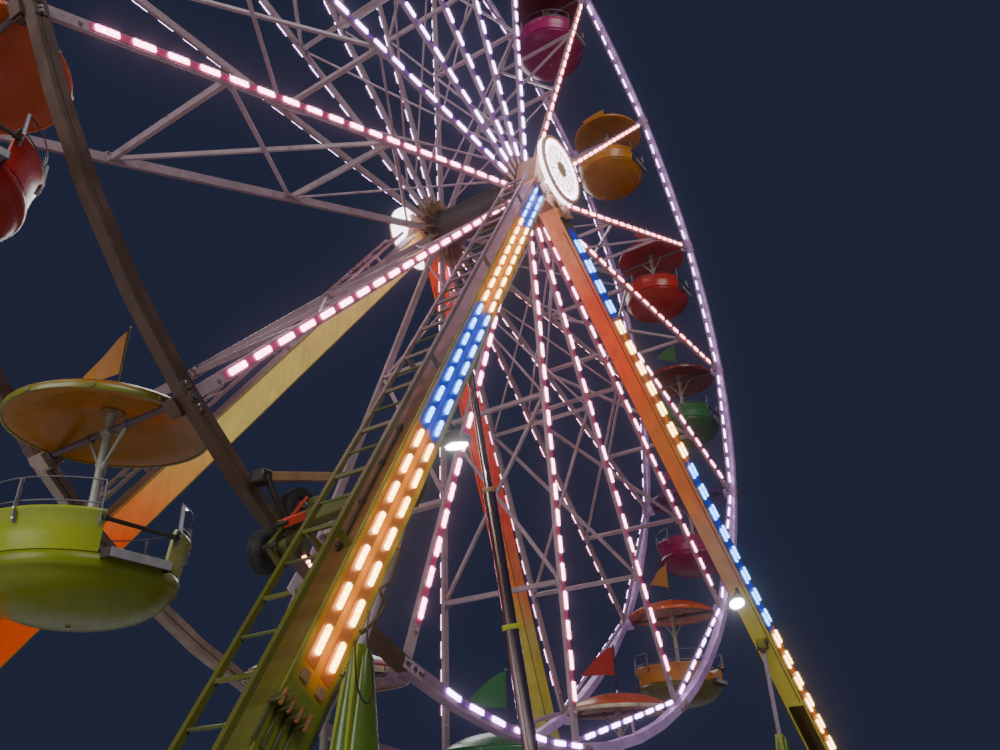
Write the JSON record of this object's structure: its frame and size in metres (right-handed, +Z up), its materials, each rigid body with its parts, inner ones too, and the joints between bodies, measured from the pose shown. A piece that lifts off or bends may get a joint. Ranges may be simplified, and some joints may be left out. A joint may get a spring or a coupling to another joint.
{
  "type": "ferris wheel",
  "caption": "Travelling ferris wheel: sixteen round tubs under canopies on a spoked wheel between two splayed A-frames, with a tyre drive at the rim.",
  "frame": {"origin": "on the ground, midway between the feet, straight under the hub", "axes": "+Z up, +Y along the axle towards the far side, +X to the right as seen from the near side"},
  "size_m": [17.5602, 6.1, 19.2951],
  "materials": {
    "wheel_bay_01": "worn gloss paint",
    "wheel_bay_02": "worn gloss paint",
    "wheel_bay_03": "worn gloss paint",
    "wheel_bay_04": "worn gloss paint",
    "wheel_bay_05_near": "worn gloss paint",
    "wheel_bay_05_far": "worn gloss paint",
    "wheel_bay_05_ties": "worn gloss paint",
    "wheel_bay_06": "worn gloss paint",
    "wheel_bay_07": "worn gloss paint",
    "wheel_bay_08": "worn gloss paint",
    "wheel_bay_09": "worn gloss paint",
    "wheel_bay_10": "worn gloss paint",
    "wheel_bay_11": "worn gloss paint",
    "wheel_bay_12": "worn gloss paint",
    "wheel_bay_13": "worn gloss paint",
    "wheel_bay_14": "worn gloss paint",
    "wheel_bay_15": "worn gloss paint",
    "wheel_bay_16": "worn gloss paint",
    "hub_drum": "dark worn paint",
    "cabin_01": "gloss moulded plastic",
    "cabin_02": "gloss moulded plastic",
    "cabin_03": "gloss moulded plastic",
    "cabin_04": "gloss moulded plastic",
    "cabin_05": "gloss moulded plastic",
    "cabin_06": "gloss moulded plastic",
    "cabin_07": "gloss moulded plastic",
    "cabin_08": "gloss moulded plastic",
    "cabin_09": "gloss moulded plastic",
    "cabin_10": "gloss moulded plastic",
    "cabin_11": "gloss moulded plastic",
    "cabin_12": "gloss moulded plastic",
    "cabin_13": "gloss moulded plastic",
    "cabin_14": "gloss moulded plastic",
    "cabin_15": "gloss moulded plastic",
    "cabin_16": "gloss moulded plastic",
    "leg_near_left": "satin paint",
    "leg_near_right": "satin paint",
    "leg_far_left": "satin paint",
    "leg_far_right": "satin paint",
    "bearing_head_near": "satin paint",
    "bearing_head_far": "satin paint",
    "medallion_near": "gloss white paint",
    "medallion_far": "gloss white paint",
    "ladder_near": "satin paint",
    "ladder_far": "satin paint",
    "base_beam_near": "satin paint",
    "base_beam_far": "satin paint",
    "base_cross_left": "satin paint",
    "base_cross_right": "satin paint",
    "base_cross_centre": "satin paint",
    "lift_cylinder": "polished",
    "drive_bracket": "satin paint",
    "boarding_deck": "grey paint with tread plate",
    "drive_tyre_outer": "matte",
    "drive_tyre_inner": "matte"
  },
  "bodies": {
    "structure": {"leg_near_left": "leg_near_left", "leg_near_right": "leg_near_right", "leg_far_left": "leg_far_left", "leg_far_right": "leg_far_right", "bearing_head_near": "bearing_head_near", "bearing_head_far": "bearing_head_far", "medallion_near": "medallion_near", "medallion_far": "medallion_far", "ladder_near": "ladder_near", "ladder_far": "ladder_far", "base_beam_near": "base_beam_near", "base_beam_far": "base_beam_far", "base_cross_left": "base_cross_left", "base_cross_right": "base_cross_right", "base_cross_centre": "base_cross_centre", "lift_cylinder": "lift_cylinder", "drive_bracket": "drive_bracket", "boarding_deck": "boarding_deck"},
    "wheel": {"hub_drum": "hub_drum", "wheel_bay_01": "wheel_bay_01", "wheel_bay_02": "wheel_bay_02", "wheel_bay_03": "wheel_bay_03", "wheel_bay_04": "wheel_bay_04", "wheel_bay_05_near": "wheel_bay_05_near", "wheel_bay_05_far": "wheel_bay_05_far", "wheel_bay_05_ties": "wheel_bay_05_ties", "wheel_bay_06": "wheel_bay_06", "wheel_bay_07": "wheel_bay_07", "wheel_bay_08": "wheel_bay_08", "wheel_bay_09": "wheel_bay_09", "wheel_bay_10": "wheel_bay_10", "wheel_bay_11": "wheel_bay_11", "wheel_bay_12": "wheel_bay_12", "wheel_bay_13": "wheel_bay_13", "wheel_bay_14": "wheel_bay_14", "wheel_bay_15": "wheel_bay_15", "wheel_bay_16": "wheel_bay_16"},
    "cabin_body_01": {"cabin_01": "cabin_01"},
    "cabin_body_02": {"cabin_02": "cabin_02"},
    "cabin_body_03": {"cabin_03": "cabin_03"},
    "cabin_body_04": {"cabin_04": "cabin_04"},
    "cabin_body_05": {"cabin_05": "cabin_05"},
    "cabin_body_06": {"cabin_06": "cabin_06"},
    "cabin_body_07": {"cabin_07": "cabin_07"},
    "cabin_body_08": {"cabin_08": "cabin_08"},
    "cabin_body_09": {"cabin_09": "cabin_09"},
    "cabin_body_10": {"cabin_10": "cabin_10"},
    "cabin_body_11": {"cabin_11": "cabin_11"},
    "cabin_body_12": {"cabin_12": "cabin_12"},
    "cabin_body_13": {"cabin_13": "cabin_13"},
    "cabin_body_14": {"cabin_14": "cabin_14"},
    "cabin_body_15": {"cabin_15": "cabin_15"},
    "cabin_body_16": {"cabin_16": "cabin_16"},
    "tyre_outer": {"drive_tyre_outer": "drive_tyre_outer"},
    "tyre_inner": {"drive_tyre_inner": "drive_tyre_inner"}
  },
  "joints": [
    {"name": "wheel_spin", "type": "hinge", "parent": "structure", "child": "wheel", "pos_m": [0, 0, 10.3], "axis": [0, 1, 0], "continuous": true},
    {"name": "cabin_level_01", "type": "hinge", "parent": "wheel", "child": "cabin_body_01", "pos_m": [7.99513, 0, 10.5792], "axis": [0, 1, 0], "continuous": true},
    {"name": "cabin_level_02", "type": "hinge", "parent": "wheel", "child": "cabin_body_02", "pos_m": [7.27969, 0, 13.61755], "axis": [0, 1, 0], "continuous": true},
    {"name": "cabin_level_03", "type": "hinge", "parent": "wheel", "child": "cabin_body_03", "pos_m": [5.45599, 0, 16.15083], "axis": [0, 1, 0], "continuous": true},
    {"name": "cabin_level_04", "type": "hinge", "parent": "wheel", "child": "cabin_body_04", "pos_m": [2.80166, 0, 17.79338], "axis": [0, 1, 0], "continuous": true},
    {"name": "cabin_level_05", "type": "hinge", "parent": "wheel", "child": "cabin_body_05", "pos_m": [-0.2792, 0, 18.29513], "axis": [0, 1, 0], "continuous": true},
    {"name": "cabin_level_06", "type": "hinge", "parent": "wheel", "child": "cabin_body_06", "pos_m": [-3.31755, 0, 17.57969], "axis": [0, 1, 0], "continuous": true},
    {"name": "cabin_level_07", "type": "hinge", "parent": "wheel", "child": "cabin_body_07", "pos_m": [-5.85083, 0, 15.75599], "axis": [0, 1, 0], "continuous": true},
    {"name": "cabin_level_08", "type": "hinge", "parent": "wheel", "child": "cabin_body_08", "pos_m": [-7.49338, 0, 13.10166], "axis": [0, 1, 0], "continuous": true},
    {"name": "cabin_level_09", "type": "hinge", "parent": "wheel", "child": "cabin_body_09", "pos_m": [-7.99513, 0, 10.0208], "axis": [0, 1, 0], "continuous": true},
    {"name": "cabin_level_10", "type": "hinge", "parent": "wheel", "child": "cabin_body_10", "pos_m": [-7.27969, 0, 6.98245], "axis": [0, 1, 0], "continuous": true},
    {"name": "cabin_level_11", "type": "hinge", "parent": "wheel", "child": "cabin_body_11", "pos_m": [-5.45599, 0, 4.44917], "axis": [0, 1, 0], "continuous": true},
    {"name": "cabin_level_12", "type": "hinge", "parent": "wheel", "child": "cabin_body_12", "pos_m": [-2.80166, 0, 2.80662], "axis": [0, 1, 0], "continuous": true},
    {"name": "cabin_level_13", "type": "hinge", "parent": "wheel", "child": "cabin_body_13", "pos_m": [0.2792, 0, 2.30487], "axis": [0, 1, 0], "continuous": true},
    {"name": "cabin_level_14", "type": "hinge", "parent": "wheel", "child": "cabin_body_14", "pos_m": [3.31755, 0, 3.02031], "axis": [0, 1, 0], "continuous": true},
    {"name": "cabin_level_15", "type": "hinge", "parent": "wheel", "child": "cabin_body_15", "pos_m": [5.85083, 0, 4.84401], "axis": [0, 1, 0], "continuous": true},
    {"name": "cabin_level_16", "type": "hinge", "parent": "wheel", "child": "cabin_body_16", "pos_m": [7.49338, 0, 7.49834], "axis": [0, 1, 0], "continuous": true},
    {"name": "tyre_spin_outer", "type": "hinge", "parent": "structure", "child": "tyre_outer", "pos_m": [-4.58595, -1.045, 3.4625], "axis": [0, 1, 0], "continuous": true},
    {"name": "tyre_spin_inner", "type": "hinge", "parent": "structure", "child": "tyre_inner", "pos_m": [-4.30992, -1.045, 3.87406], "axis": [0, 1, 0], "continuous": true}
  ],
  "couplings": [
    {"joint": "cabin_level_01", "follows": "wheel_spin", "ratio": -1},
    {"joint": "cabin_level_02", "follows": "wheel_spin", "ratio": -1},
    {"joint": "cabin_level_03", "follows": "wheel_spin", "ratio": -1},
    {"joint": "cabin_level_04", "follows": "wheel_spin", "ratio": -1},
    {"joint": "cabin_level_05", "follows": "wheel_spin", "ratio": -1},
    {"joint": "cabin_level_06", "follows": "wheel_spin", "ratio": -1},
    {"joint": "cabin_level_07", "follows": "wheel_spin", "ratio": -1},
    {"joint": "cabin_level_08", "follows": "wheel_spin", "ratio": -1},
    {"joint": "cabin_level_09", "follows": "wheel_spin", "ratio": -1},
    {"joint": "cabin_level_10", "follows": "wheel_spin", "ratio": -1},
    {"joint": "cabin_level_11", "follows": "wheel_spin", "ratio": -1},
    {"joint": "cabin_level_12", "follows": "wheel_spin", "ratio": -1},
    {"joint": "cabin_level_13", "follows": "wheel_spin", "ratio": -1},
    {"joint": "cabin_level_14", "follows": "wheel_spin", "ratio": -1},
    {"joint": "cabin_level_15", "follows": "wheel_spin", "ratio": -1},
    {"joint": "cabin_level_16", "follows": "wheel_spin", "ratio": -1},
    {"joint": "tyre_spin_outer", "follows": "wheel_spin", "ratio": -45.225},
    {"joint": "tyre_spin_inner", "follows": "wheel_spin", "ratio": 44.551}
  ]
}
